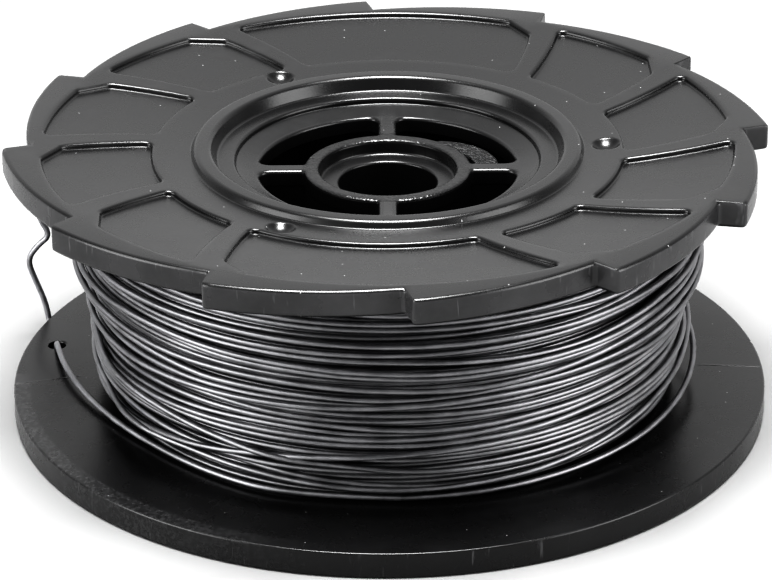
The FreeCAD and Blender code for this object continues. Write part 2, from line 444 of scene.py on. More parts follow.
class Finish:
    """A material under construction: its nodes, with short ways to add and join them."""

    def __init__(self, name: str) -> None:
        """Start a material with one Principled shader.

        Args:
            name: The material's name.
        """
        self.material = bpy.data.materials.new(name)
        self.material.use_nodes = True
        self.nodes = self.material.node_tree.nodes
        self.links = self.material.node_tree.links
        self.shader = self.nodes["Principled BSDF"]

    @cached_property
    def place(self) -> NodeSocket:
        """The point's Object coordinates."""
        return self.node("TexCoord").outputs["Object"]

    @cached_property
    def parts(self) -> tuple[NodeSocket, ...]:
        """The three Object coordinates, one by one."""
        return self.split(self.place)

    @cached_property
    def radius(self) -> NodeSocket:
        """The point's distance from the Z axis."""
        return self.math("SQRT", self.plus(*(self.times(part, part) for part in self.parts[:2])))

    @cached_property
    def angle(self) -> NodeSocket:
        """The point's direction about the Z axis, in radians."""
        return self.math("ARCTAN2", self.parts[1], self.parts[0])

    @cached_property
    def normal(self) -> NodeSocket:
        """The direction that the surface faces, in Object space."""
        return self.node("TexCoord").outputs["Normal"]

    def node(self, kind: str, **values: object) -> Node:
        """Add a node.

        Args:
            kind: The node's type without its ShaderNode prefix.
            **values: Properties to set on it.

        Returns:
            The new node.
        """
        node = self.nodes.new("ShaderNode" + kind)
        for key, value in values.items():
            setattr(node, key, value)
        return node

    def feed(self, socket: NodeSocket, value: object) -> None:
        """Give an input its value.

        Args:
            socket: The input.
            value: A socket to link it to, or what to set it to.
        """
        if isinstance(value, NodeSocket):
            self.links.new(value, socket)
        else:
            socket.default_value = value

    def fill(self, node: Node, **inputs: object) -> Node:
        """Give a node's inputs their values.

        Args:
            node: The node.
            **inputs: Values by the inputs' names, with underscores for spaces.

        Returns:
            The node.
        """
        for key, value in inputs.items():
            self.feed(node.inputs[key.replace("_", " ")], value)
        return node

    def result(self, node: Node, *terms: object) -> NodeSocket:
        """Give a node's first inputs their values and take its first output.

        Args:
            node: The node.
            *terms: Sockets or values, in the inputs' order.

        Returns:
            The output.
        """
        for socket, term in zip(node.inputs, terms):
            self.feed(socket, term)
        return node.outputs[0]

    def math(self, operation: str, *terms: object, clamp: bool = False) -> NodeSocket:
        """Result of a Math node on sockets or numbers."""
        return self.result(self.node("Math", operation=operation, use_clamp=clamp), *terms)

    def times(self, *terms: object) -> NodeSocket:
        """Product of sockets or numbers."""
        return reduce(lambda first, second: self.math("MULTIPLY", first, second), terms)

    def plus(self, *terms: object) -> NodeSocket:
        """Sum of sockets or numbers."""
        return reduce(lambda first, second: self.math("ADD", first, second), terms)

    def ramp(self, value: NodeSocket, low: float, high: float,
             first: float = 0.0, last: float = 1.0) -> NodeSocket:
        """Smooth step of a value between two limits.

        Args:
            value: The socket that is mapped.
            low: Value that gives first.
            high: Value that gives last.
            first: Result at low.
            last: Result at high.

        Returns:
            The result's socket.
        """
        node = self.node("MapRange", interpolation_type="SMOOTHSTEP")
        self.fill(node, Value=value, From_Min=low, From_Max=high, To_Min=first, To_Max=last)
        return node.outputs["Result"]

    def below(self, value: NodeSocket, limits: Sequence[float]) -> NodeSocket:
        """One below a soft step between two limits, and zero above it."""
        return self.ramp(value, *limits, 1.0, 0.0)

    def between(self, value: NodeSocket, limits: Sequence[float]) -> NodeSocket:
        """One between two soft steps, whose four limits are given in order, and zero outside."""
        return self.times(self.ramp(value, *limits[:2]), self.below(value, limits[2:]))

    def noise(self, place: NodeSocket, scale: float, detail: float = 3.0,
              rough: float = 0.55) -> NodeSocket:
        """Value of a noise pattern."""
        node = self.node("TexNoise")
        return self.fill(node, Vector=place, Scale=scale, Detail=detail, Roughness=rough).outputs["Fac"]

    def split(self, vector: NodeSocket) -> tuple[NodeSocket, ...]:
        """The three parts of a vector."""
        node = self.node("SeparateXYZ")
        return self.result(node, vector), *node.outputs[1:3]

    def vector(self, *parts: object) -> NodeSocket:
        """A vector put together from three sockets or numbers."""
        return self.result(self.node("CombineXYZ"), *parts)

    def blend(self, share: NodeSocket, first: object, last: object) -> NodeSocket:
        """Colour between two colours.

        Args:
            share: How far it is towards the last one.
            first: A socket or a colour.
            last: A socket or a colour.

        Returns:
            The blended colour.
        """
        node = self.node("Mix", data_type="RGBA")
        for index, value in ((0, share), (6, first), (7, last)):
            self.feed(node.inputs[index], value)
        return node.outputs[2]

    def grey(self, share: NodeSocket, dark: float, light: float, tint: float = 1.02) -> NodeSocket:
        """Grey between two levels, slightly cool."""
        return self.blend(share, *((tone, tone, tone * tint, 1.0) for tone in (dark, light)))

    def bump(self, height: NodeSocket, strength: float, distance: float,
             under: NodeSocket | None = None) -> NodeSocket:
        """Normal of a bump.

        Args:
            height: The bump's pattern.
            strength: How far it shows.
            distance: How high it stands.
            under: Normal of the bump below it, if there is one.

        Returns:
            The bumped normal.
        """
        node = self.fill(self.node("Bump"), Height=height, Strength=strength, Distance=distance)
        if under is not None:
            self.feed(node.inputs["Normal"], under)
        return node.outputs["Normal"]


@dataclass(frozen=True)
class Relief:
    """Fine unevenness: a noise pattern, with its repeats per metre, and its bump's height."""

    density: float
    detail: float
    rough: float
    strength: float
    height: float

    def over(self, f: Finish, under: NodeSocket | None = None,
             where: NodeSocket | None = None) -> NodeSocket:
        """Normal of this relief on a surface.

        Args:
            f: The finish under construction.
            under: Normal of the relief below it, if there is one.
            where: How far it shows at each point; all over, if not given.

        Returns:
            The uneven normal.
        """
        pattern = f.noise(f.place, self.density, self.detail, self.rough)
        if where is not None:
            pattern = f.times(pattern, where)
        return f.bump(pattern, self.strength, self.height, under)


@dataclass(frozen=True)
class MouldedPlastic:
    """Black moulded plastic with a faint grain, flow marks, dust, and scuffs on the rims.

    Twos and fours of numbers are limits of soft steps. Densities are repeats per metre.
    """

    base: float = 0.010
    base_lightened: float = 0.10
    roughness: float = 0.27
    roughness_spread: float = 0.10
    specular: float = 0.5
    grain: Relief = Relief(1.0 / (0.35 * MM), 2.0, 0.55, 0.5, 0.012 * MM)
    flow: Relief = Relief(55.0, 3.0, 0.5, 0.6, 0.05 * MM)

    patch_density: float = 140.0
    patches_dull: tuple[float, float] = (0.55, 0.85)
    patches_wall_lightening: tuple[float, float] = (0.2, 0.8)
    dull: float = 0.05
    # Lighter grey on the upper rim's upright walls, in large patches; none on the lower rim.
    wall_lightening: tuple[float, float] = (0.32, 0.62)
    wall_lightening_above: float = 0.9
    streak_densities: tuple[float, float] = (55.0, 120.0)
    streaks_scuffed: tuple[float, float] = (0.61, 0.71)
    scuffed: float = 0.6
    rim_radii: tuple[float, float] = (46.0 * MM, 46.6 * MM)
    wall_tilts: tuple[float, float] = (0.25, 0.6)
    between_flanges: tuple[float, float] = (5.0 * MM, 6.0 * MM)

    dust_tone: float = 0.30
    dust_spacing: float = 5.0 * MM
    dust_r: float = 0.075 * MM
    dust_share: float = 0.2

    pits: Relief = Relief(2600.0, 2.0, 0.5, 0.7, 0.16 * MM)
    pitted_radii: tuple[float, float] = (10.9 * MM, 11.3 * MM)
    pitted_heights: tuple[float, float] = (33.0 * MM, 33.1 * MM)

    flash: Relief = Relief(1300.0, 3.0, 0.7, 1.0, 0.6 * MM)
    anchor_radii: tuple[float, ...] = (11.2 * MM, 11.4 * MM, 14.7 * MM, 14.9 * MM)
    anchor_angles: tuple[float, ...] = (0.03, 0.09, 0.95, 1.05)
    anchor_heights: tuple[float, float] = (32.95 * MM, 33.05 * MM)

    band_radii: tuple[float, float] = (47.6 * MM, 48.1 * MM)
    band_angles: tuple[float, float] = (-2.3, -1.6)
    band_density: float = 1900.0
    band_scratches: tuple[float, float] = (0.42, 0.68)
    band_rubbed: tuple[float, float] = (0.04, 0.3)

    ridge_height: float = 0.12 * MM
    ridge_half_widths: tuple[float, float] = (0.05 * MM, 0.22 * MM)
    ridge_starts: tuple[float, float] = (41.0 * MM, 42.0 * MM)
    ridge_y: float = 0.7 * MM
    ridge_rise_left: float = 5.41 * MM
    ridge_slant_left: float = 0.18

    def material(self) -> Material:
        """Build the material.

        Returns:
            The material, for a spool that stands round the Z axis.
        """
        f = Finish("moulded_black_plastic")
        patches = f.noise(f.place, self.patch_density, 4.0, 0.6)
        steep = f.below(f.math("ABSOLUTE", f.split(f.normal)[2]), self.wall_tilts)
        tone = f.grey(self.lightening(f, patches, steep), self.base, self.base_lightened)
        spread = f.times(f.math("SUBTRACT", patches, 0.5), 2.0 * self.roughness_spread)
        relief = f.bump(self.parting_ridge(f), 1.0, self.ridge_height, self.flow.over(f))
        on_hub = f.times(f.below(f.radius, self.pitted_radii),
                         f.ramp(f.parts[2], *self.pitted_heights))
        relief = self.pits.over(f, relief, on_hub)
        relief = self.flash.over(f, relief, self.on_anchor(f))
        f.fill(f.shader, Base_Color=self.dusted(f, tone, steep), Normal=self.grain.over(f, relief),
               Roughness=f.plus(self.roughness, spread))
        f.shader.inputs["Specular IOR Level"].default_value = self.specular
        return f.material

    def lightening(self, f: Finish, patches: NodeSocket, steep: NodeSocket) -> NodeSocket:
        """How far a point's grey is lightened: dull patches, scuffed rims, the rubbed band, and lighter
        patches on the upper rim's upright walls.

        Args:
            f: The finish under construction.
            patches: The pattern of large patches.
            steep: How upright the surface stands.

        Returns:
            The wear between zero and one.
        """
        z = f.parts[2]
        round_rim, up_rim = self.streak_densities
        streaks = f.noise(f.vector(f.times(f.angle, round_rim), f.times(z, up_rim), 0.0),
                          1.0, 3.0, 0.6)
        on_wall = f.times(f.ramp(f.radius, *self.rim_radii), steep)
        # The upright rim walls above the lower flange are made lighter grey in large patches.
        wall_lightening = f.times(on_wall, f.ramp(patches, *self.patches_wall_lightening, *self.wall_lightening),
                          f.ramp(z, *self.between_flanges, 0.0, self.wall_lightening_above))
        scuff = f.times(on_wall, f.ramp(streaks, *self.streaks_scuffed, 0.0, self.scuffed))
        lightening_sum = f.plus(wall_lightening, scuff, f.ramp(patches, *self.patches_dull, 0.0, self.dull))
        return f.math("ADD", lightening_sum, self.rubbed_band(f), clamp=True)

    def dusted(self, f: Finish, color: NodeSocket, steep: NodeSocket) -> NodeSocket:
        """Colour with a few light specks of dust where the surface is level.

        Args:
            f: The finish under construction.
            color: The clean colour.
            steep: How upright the surface stands.

        Returns:
            The dusted colour.
        """
        cells = f.node("TexVoronoi", voronoi_dimensions="2D")
        f.fill(cells, Vector=f.vector(*f.parts[:2], 0.0), Scale=1.0 / self.dust_spacing)
        reach = self.dust_r / self.dust_spacing
        speck = f.below(cells.outputs["Distance"], (0.7 * reach, 1.3 * reach))
        here = f.math("GREATER_THAN", f.split(cells.outputs["Color"])[0], 1.0 - self.dust_share)
        level = f.math("SUBTRACT", 1.0, steep)
        dust = (self.dust_tone, self.dust_tone, self.dust_tone, 1.0)
        return f.blend(f.times(speck, here, level), color, dust)

    def on_anchor(self, f: Finish) -> NodeSocket:
        """One on the anchor bar, which is left ragged by its mould, and zero elsewhere."""
        return f.times(f.between(f.radius, self.anchor_radii), f.between(f.angle, self.anchor_angles),
                       f.below(f.parts[2], self.anchor_heights))

    def rubbed_band(self, f: Finish) -> NodeSocket:
        """Wear of the lighter, scratched band along the left edge of the lower flange.

        Args:
            f: The finish under construction.

        Returns:
            How rubbed the point is.
        """
        band = f.times(f.ramp(f.radius, *self.band_radii), f.below(f.angle, self.band_angles),
                       f.below(f.parts[2], self.between_flanges))
        scratches = f.noise(f.place, self.band_density, 3.0, 0.7)
        return f.times(band, f.ramp(scratches, *self.band_scratches, *self.band_rubbed))

    def parting_ridge(self, f: Finish) -> NodeSocket:
        """Fine ridge that the mould's parting left across the lower flange on both sides.

        Args:
            f: The finish under construction.

        Returns:
            The ridge's height between zero and one.
        """
        x, y, z = f.parts
        slant = f.math("MULTIPLY_ADD", x, self.ridge_slant_left, self.ridge_rise_left)
        middle = f.math("MULTIPLY_ADD", f.math("LESS_THAN", x, 0.0), slant, self.ridge_y)
        ridge = f.below(f.math("ABSOLUTE", f.math("SUBTRACT", y, middle)), self.ridge_half_widths)
        reach = f.ramp(f.math("ABSOLUTE", x), *self.ridge_starts)
        return f.times(ridge, reach, f.below(z, self.between_flanges))


@dataclass(frozen=True)
class AnnealedWire:
    """Dark annealed steel wire, slightly oily, with streaks along its length."""

    base: float = 0.20
    base_light: float = 0.35
    tint: float = 1.03
    roughness: float = 0.41
    roughness_spread: float = 0.14
    streaks_round: float = 6.0
    streaks_across: float = 2600.0
    streak_strength: float = 0.3
    streak_depth: float = 0.01 * MM
    streak_share: float = 0.6
    blotch_density: float = 260.0
    light_tones: tuple[float, float] = (0.3, 0.7)
    rough_tones: tuple[float, float] = (0.35, 0.7)

    def material(self, name: str) -> Material:
        """Build the material.

        Args:
            name: The material's name.

        Returns:
            The material, for wires that run round the Z axis.
        """
        f = Finish(name)
        along = f.vector(f.times(f.angle, self.streaks_round), f.times(f.parts[2], self.streaks_across),
                         f.times(f.radius, self.streaks_across))
        streaks = f.noise(along, 1.0, 3.0, 0.6)
        blotches = f.noise(f.place, self.blotch_density, 3.0, 0.6)
        tone = f.plus(f.times(streaks, self.streak_share), f.times(blotches, 1.0 - self.streak_share))
        light = f.ramp(tone, *self.light_tones)
        f.fill(f.shader, Base_Color=f.grey(light, self.base, self.base_light, self.tint),
               Roughness=f.ramp(tone, *self.rough_tones, self.roughness,
                                self.roughness + self.roughness_spread),
               Normal=f.bump(streaks, self.streak_strength, self.streak_depth))
        f.shader.inputs["Metallic"].default_value = 1.0
        return f.material


@dataclass(frozen=True)
class PaleFloor:
    """Plain matt white paper."""

    tone: float = 0.22
    tone_spread: float = 0.004
    roughness: float = 0.85
    grain_density: float = 30.0

    def material(self) -> Material:
        """Build the material.

        Returns:
            The material.
        """
        f = Finish("pale_paper")
        grain = f.noise(f.place, self.grain_density, 2.0)
        tones = (self.tone - self.tone_spread, self.tone + self.tone_spread)
        f.fill(f.shader, Base_Color=f.grey(grain, *tones, 1.0))
        f.shader.inputs["Roughness"].default_value = self.roughness
        return f.material


# The moulded spool


@dataclass
class Spool:
    """The black moulded spool: toothed upper flange, barrel, hub with ribs, plain lower flange."""

    columns: int = 240
    flange_r: float = 50.0 * MM
    height: float = 37.6 * MM
    rim_t: float = 3.5 * MM
    web_t: float = 2.8 * MM
    dish: float = 1.8 * MM
    land_w: float = 4.0 * MM
    rim_round: float = 0.3 * MM
    foot_round: float = 0.5 * MM
    barrel_root_round: float = 0.6 * MM
    corner_round: float = 0.4 * MM
    edge_round: float = 0.3 * MM
    inner_face_r: float = 37.0 * MM
    outer_face_r: float = 29.4 * MM
    crease_angle: float = 50.0

    tooth_count: int = 12
    tooth_depth: float = 3.4 * MM
    tooth_start: float = 3.3
    tooth_lean: float = 1.0
    tooth_round: float = 0.55 * MM
    tooth_crease: float = 30.0

    pocket_depth: float = 0.7 * MM
    pocket_rings: tuple[float, ...] = (44.9 * MM, 42.2 * MM, 40.2 * MM, 37.2 * MM, 34.0 * MM, 30.7 * MM)
    pocket_slant: float = 0.493 / MM
    pocket_span: float = 24.5
    pocket_chamfer_end: float = 4.2
    pocket_chamfer_shares: tuple[float, ...] = (0.28, 0.52, 0.76, 1.0)
    pocket_roundings: tuple[tuple[float, int], ...] = (
        (1.35 * MM, 5), (0.5 * MM, 3), (0.4 * MM, 3), (1.35 * MM, 5), (0.8 * MM, 3))
    pocket_brow_round: float = 0.42 * MM
    pocket_floor_round: float = 0.24 * MM
    pocket_crease: float = 50.0
    wide_pockets: tuple[int, ...] = (2, 8)

    gate_ball_r: float = 2.3 * MM
    gate_circle_r: float = 28.5 * MM
    gate_sink: float = 1.2 * MM
    gate_lip_r: float = 0.45 * MM
    gate_lip_angle: float = 50.0
    gate_directions: tuple[float, ...] = (1.3, 120.5, 242.0)

    ring_outer_r: float = 25.6 * MM
    ring_inner_r: float = 22.95 * MM
    ring_h: float = 1.0 * MM
    ring_lean: float = 0.5 * MM
    ring_rounds: tuple[float, float] = (0.7 * MM, 0.75 * MM)
    step1_r: float = 22.25 * MM
    step1_depth: float = 1.9 * MM
    step2_r: float = 19.8 * MM
    step2_depth: float = 2.7 * MM
    step2_rounds: tuple[float, float] = (0.45 * MM, 0.2 * MM)
    floor_depth: float = 3.5 * MM
    plate_t: float = 2.0 * MM

    hub_outer_r: float = 10.93 * MM
    hub_seat_r: float = 8.92 * MM
    hub_seat_depth: float = 2.0 * MM
    hub_seat_round: float = 0.5 * MM
    bore_r: float = 6.4 * MM
    hub_foot_z: float = 1.8 * MM
    rib_count: int = 4
    rib_t: float = 2.4 * MM
    slot_outer_r: float = 16.9 * MM
    slot_corner_r: float = 1.4 * MM
    slot_root_r: float = 0.35 * MM
    slot_edge_round: float = 0.5 * MM
    slot_flare: float = 0.06 * MM

    anchor_w: float = 3.2 * MM
    anchor_t: float = 2.0 * MM
    anchor_sink: float = 0.5 * MM
    anchor_round: float = 0.35 * MM
    anchor_inner_r: float = 10.45 * MM
    anchor_outer_r: float = 12.95 * MM
    anchor_directions: tuple[float, float, float] = (56.3, 28.2, 2.6)

    barrel_r: float = 29.0 * MM
    barrel_t: float = 2.5 * MM

    hole_r: float = 1.15 * MM
    hole_circle_r: float = 45.9 * MM
    hole_direction: float = 169.2
    hole_lip: float = 0.3 * MM
    notch_w: float = 1.4 * MM
    notch_depth: float = 1.15 * MM
    notch_heading: float = 99.0
    notch_length: float = 11.5 * MM

    def __post_init__(self) -> None:
        """Take the flange's radius and the height from the frame, and derive levels."""
        low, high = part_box("spool")
        self.flange_r = high.x
        self.height = high.z - low.z
        self.step = 360.0 / self.columns
        self.tooth_pitch = 360.0 / self.tooth_count
        self.tooth_columns = self.columns // self.tooth_count
        self.chamber_r = self.barrel_r - self.barrel_t
        self.land_r = self.flange_r - self.land_w
        self.ring_top_z = self.height - self.dish + self.ring_h
        self.floor_z = self.ring_top_z - self.floor_depth
        self.plate_foot_z = self.floor_z - self.plate_t
        self.inner_twist = self.tooth_start + 2 * self.step

    def dish_height(self, r: float) -> float:
        """Depth of a dished outer face below its rim at a radius."""
        return self.dish * max(self.land_r - r, 0.0) / (self.land_r - self.ring_outer_r)

    def flange_inner_height(self, r: float) -> float:
        """Height of the lower flange's inner face at a radius."""
        level = self.dish_height(self.barrel_r) + self.web_t
        return self.rim_t + (level - self.rim_t) * (self.flange_r - r) / (self.flange_r - self.barrel_r)

    def top(self, r: float) -> float:
        """Height of the upper face at a radius."""
        return self.height - self.dish_height(r)

    def body_outline(self) -> list[Vector]:
        """Outline of the turned body, from the chamber's mouth round to its ceiling.

        Returns:
            Radius and height of each point.
        """
        inner_z = self.flange_inner_height(self.barrel_r)
        step1_z = self.ring_top_z - self.step1_depth
        seat_z = self.floor_z - self.hub_seat_depth
        corner, edge = self.corner_round, self.edge_round
        land_r = self.land_r - 0.2 * MM
        corners = [
            (self.chamber_r, self.dish_height(self.chamber_r), corner),
            (self.land_r, 0.0, 0.0),
            (self.flange_r, 0.0, self.foot_round),
            (self.flange_r, self.rim_t, self.rim_round),
            (self.land_r, self.flange_inner_height(self.land_r), 0.0),
            (self.inner_face_r, self.flange_inner_height(self.inner_face_r), 0.0),
            (self.barrel_r, inner_z, self.barrel_root_round),
            (self.barrel_r, self.height - inner_z, self.barrel_root_round),
            (self.flange_r, self.height - self.rim_t, 0.0),
            (self.flange_r, self.height, 0.0),
            (land_r, self.top(land_r), 0.0),
        ]
        corners += [(r, self.top(r), 0.0) for r in self.pocket_rings]
        corners += [
            (self.outer_face_r, self.top(self.outer_face_r), 0.0),
            (self.ring_outer_r, self.height - self.dish, edge),
            (self.ring_outer_r - self.ring_lean, self.ring_top_z, self.ring_rounds[0]),
            (self.ring_inner_r, self.ring_top_z, self.ring_rounds[1]),
            (self.step1_r, step1_z, corner),
            (self.step2_r, step1_z, self.step2_rounds[0]),
            (self.step2_r, self.ring_top_z - self.step2_depth, self.step2_rounds[1]),
            (self.slot_outer_r + self.slot_edge_round + 0.1 * MM, self.floor_z, 0.0),
            (self.hub_seat_r, self.floor_z, self.hub_seat_round),
            (self.hub_seat_r, seat_z, corner),
            (self.bore_r, seat_z, corner),
            (self.bore_r, self.hub_foot_z, edge),
            (self.hub_outer_r, self.hub_foot_z, edge),
            (self.hub_outer_r, self.plate_foot_z, 0.0),
            (self.chamber_r, self.plate_foot_z, corner),
        ]
        return rounded(corners)

    def column(self, point: Vector) -> int:
        """Number of the column that a point lies on, counted from its tooth's tip."""
        lead = direction_of(point) - self.tooth_start
        return round(lead / self.step) % self.tooth_columns

    def tooth(self, point: Vector) -> int:
        """Number of the tooth that a point belongs to."""
        lead = (direction_of(point) - self.tooth_start + self.step / 4.0) % 360.0
        return int(lead // self.tooth_pitch)

    def is_rim(self, point: Vector) -> bool:
        """Whether a point is on the upper flange's outer wall."""
        return radius_of(point) > self.flange_r - TINY and point.z > self.height / 2.0

    def cut_teeth(self) -> None:
        """Draw the upper rim in along each tooth's back, with a step to the next tip."""
        back = self.tooth_pitch - self.tooth_lean
        for column in range(1, self.tooth_columns):
            pick(Element.VERTEX, lambda v: self.is_rim(v.co) and self.column(v.co) == column)
            share = min(column * self.step / back, 1.0)
            if column == self.tooth_columns - 1:
                share = 1.0
                turn(self.step - self.tooth_lean)
            draw_in(1.0 - self.tooth_depth * share / self.flange_r)

    def in_pocket(self, face: BMFace) -> bool:
        """Whether a face of the untwisted upper side lies in a pocket.

        Args:
            face: The face to judge.

        Returns:
            Whether it does.
        """
        centre = face.calc_center_median()
        r = radius_of(centre)
        if facing(face) is not Facing.UP or centre.z < self.height / 2.0:
            return False
        if not self.pocket_rings[-1] < r < self.pocket_rings[0]:
            return False
        lead = (direction_of(centre) - self.tooth_start) % self.tooth_pitch
        if lead < self.pocket_span:
            return True
        return self.tooth(centre) in self.wide_pockets

    def starts_pocket(self, tooth: int) -> bool:
        """Whether a pocket begins at a tooth."""
        return (tooth - 1) % self.tooth_count not in self.wide_pockets

    def on_ring(self, point: Vector, ring: float) -> bool:
        """Whether a point is on one of the rings of the upper face, or sunk below it."""
        return abs(radius_of(point) - ring) < TINY and point.z > self.top(ring) - self.pocket_depth - TINY

    def sink_pockets(self) -> None:
        """Sink the pockets, slant them, and chamfer the corner beside each tooth."""
        pick(Element.FACE, self.in_pocket)
        extrude(-UP * self.pocket_depth)
        last = round(self.pocket_span / self.step - 0.5)
        outer, shoulder = self.pocket_rings[:2]
        pick(Element.VERTEX, lambda v: self.column(v.co) == last
             and any(self.on_ring(v.co, ring) for ring in self.pocket_rings)
             and self.tooth(v.co) not in self.wide_pockets)
        turn(self.pocket_span - last * self.step)
        start = polar(shoulder, -self.pocket_slant * (outer - shoulder))
        end = polar(outer, self.pocket_chamfer_end)
        for column, share in enumerate(self.pocket_chamfer_shares):
            target = start.lerp(end, share)
            pick(Element.VERTEX, lambda v: self.column(v.co) == column and self.on_ring(v.co, outer)
                 and self.starts_pocket(self.tooth(v.co)))
            turn(direction_of(target) - column * self.step)
            draw_in(radius_of(target) / outer)
            bpy.ops.transform.translate(value=UP * (self.top(radius_of(target)) - self.top(outer)))
        for ring in self.pocket_rings[1:]:
            pick(Element.VERTEX, lambda v: self.on_ring(v.co, ring))
            turn(-self.pocket_slant * (outer - ring))
        inner_r = self.pocket_rings[-1] - TINY
        pick(Element.VERTEX, lambda v: v.co.z < self.height - self.rim_t - TINY
             or radius_of(v.co) < inner_r)
        turn(-self.inner_twist)

    def pocket_corners(self, kind: int) -> list[Vector]:
        """Places of one kind of corner of all the pockets, seen from above.

        Args:
            kind: Which corner: 0 inner start, 1 shoulder, 2 outer start, 3 outer end, 4 inner end.

        Returns:
            The corners' places.
        """
        outer, shoulder, inner = self.pocket_rings[0], self.pocket_rings[1], self.pocket_rings[-1]
        end = self.pocket_span
        ring, lead = ((inner, -self.pocket_slant * (outer - inner)),
                      (shoulder, -self.pocket_slant * (outer - shoulder)),
                      (outer, self.pocket_chamfer_end),
                      (outer, end),
                      (inner, end - self.pocket_slant * (outer - inner)))[kind]
        teeth = [tooth for tooth in range(self.tooth_count)
                 if (self.starts_pocket(tooth) if kind < 3 else tooth not in self.wide_pockets)]
        return [polar(ring, self.tooth_start + tooth * self.tooth_pitch + lead) for tooth in teeth]

    def round_pockets(self) -> None:
        """Round the pockets' corners, then the edges at their top and floor."""
        inner = self.pocket_rings[-1]
        beside = [Matrix.Rotation(math.radians(self.step), 2) @ corner.to_2d()
                  for corner in self.pocket_corners(0)]

        def crowds(edge: BMEdge) -> bool:
            """Whether an edge off the inner ring ends on the column beside an inner start.

            Args:
                edge: The edge to judge.

            Returns:
                Whether it does.
            """
            ends = [vertex.co for vertex in edge.verts]
            if not is_upright(edge) and abs(radius_of(ends[0]) - radius_of(ends[1])) <= TINY:
                return False
            return any(meets(end, beside) for end in ends
                       if end.z > self.top(inner) - self.pocket_depth - TINY)

        pick(Element.EDGE, crowds)
        bpy.ops.mesh.dissolve_edges(use_verts=True)
        for kind, (reach, segments) in enumerate(self.pocket_roundings):
            spots = [corner.to_2d() for corner in self.pocket_corners(kind)]
            found = pick(Element.EDGE, lambda e: is_upright(e) and e.verts[0].co.z > self.height / 2.0
                         and meets(e.verts[0].co, spots))
            log.info("pocket corners of kind %d: %d of %d", kind, found, len(spots))
            round_edges(reach, segments)
        low_r = self.pocket_rings[-1] - MM
        high_r = self.pocket_rings[0] + 0.5 * MM
        for sign, reach in ((1.0, self.pocket_brow_round), (-1.0, self.pocket_floor_round)):
            pick(Element.EDGE, lambda e: is_brow(e) and e.verts[0].co.z > self.height - self.rim_t
                 and low_r < radius_of(e.verts[0].co) < high_r
                 and sign * e.calc_face_angle_signed(0.0) > math.radians(self.pocket_crease))
            round_edges(reach, 3, loop_slide=False)

    def round_teeth(self) -> None:
        """Round the teeth's tips and roots and the rim's edges."""
        reach = self.flange_r - self.tooth_depth - 0.3 * MM

        def on_teeth(edge: BMEdge) -> bool:
            """Whether an edge is a corner or a brow of the toothed rim.

            Args:
                edge: The edge to judge.

            Returns:
                Whether it is.
            """
            a, b = (vertex.co for vertex in edge.verts)
            if min(a.z, b.z) < self.height - self.rim_t - TINY or min(radius_of(a), radius_of(b)) < reach:
                return False
            if is_brow(edge) or is_brow(edge, Facing.DOWN):
                return True
            return is_upright(edge) and edge.calc_face_angle(0.0) > math.radians(self.tooth_crease)

        pick(Element.EDGE, on_teeth)
        round_edges(self.tooth_round, 3)

    def slot_outline(self, grow: float) -> list[Vector]:
        """Outline of the opening between the first two ribs, seen from above.

        Args:
            grow: How far the outline is set outwards all round.

        Returns:
            The outline's points, in x and y.
        """
        half = self.rib_t / 2.0
        outline = []
        for ring, corner, side in ((self.slot_outer_r, self.slot_corner_r, -1.0),
                                   (self.hub_outer_r + 5 * TINY, self.slot_root_r, 1.0)):
            offset = half + corner
            reach = math.sqrt((ring + side * corner) ** 2 - offset ** 2)
            swing = math.degrees(math.atan2(offset, reach))
            last = swing if side < 0.0 else swing - 180.0
            centre = Vector((reach, offset))
            run = [centre + polar(corner + grow, -90.0 + (last + 90.0) * i / 6.0).to_2d()
                   for i in range(7)]
            run += [polar(ring - side * grow, swing + (45.0 - swing) * i / 12.0).to_2d()
                    for i in range(1, 13)]
            run += [Vector((point.y, point.x)) for point in reversed(run[:-1])]
            outline += run if side < 0.0 else reversed(run)
        return outline

    def slot_cutters(self) -> list[Object]:
        """Cutters of the openings through the recess floor, flared at the top to round its edges.

        Returns:
            The cutters, in their places.
        """
        grow = self.slot_edge_round + self.slot_flare
        cutter = prism("slot", self.slot_outline(grow), self.floor_z + SKIN, CUT_OVERSHOOT)
        edit(cutter)
        pick(Element.FACE, lambda f: facing(f) is Facing.DOWN)
        bpy.ops.mesh.inset(thickness=grow)
        extrude(-UP * (self.plate_t + CUT_OVERSHOOT))
        pick(Element.EDGE, lambda e: is_brow(e, Facing.DOWN) and e.calc_face_angle_signed(0.0) < 0.0)
        round_edges(self.slot_edge_round, 4)
        close_edit()
        return repeated(cutter, self.rib_count)

    def ribs(self) -> list[Object]:
        """Upright ribs between the hub tube and the barrel, under the spokes.

        Returns:
            The ribs, in their places.
        """
        inner = (self.hub_outer_r + self.hub_seat_r) / 2.0
        outer = (self.barrel_r + self.chamber_r) / 2.0
        half = self.rib_t / 2.0 - 5 * TINY
        outline = [Vector(p) for p in ((inner, -half), (outer, -half), (outer, half), (inner, half))]
        height = self.plate_foot_z + self.plate_t / 2.0 - self.hub_foot_z
        return repeated(prism("rib", outline, self.hub_foot_z + TINY, height), self.rib_count)

    def anchor_bar(self) -> Object:
        """Arched bar from the hub tube to a rib, with softened edges.

        Returns:
            The bar, in its place.
        """
        half = self.anchor_w / 2.0
        radii = (self.anchor_inner_r, self.anchor_outer_r, self.anchor_outer_r)
        places = list(zip(radii, self.anchor_directions))
        outer = arc_through([polar(radius + half, way) for radius, way in places], 18)
        inner = arc_through([polar(radius - half, way) for radius, way in reversed(places)], 18)
        foot = self.floor_z - self.anchor_t - self.anchor_sink
        bar = prism("anchor_bar", outer + inner, foot, self.anchor_t)
        edit(bar)
        pick(Element.EDGE, lambda e: is_brow(e))
        round_edges(self.anchor_round, 3)
        close_edit()
        return bar

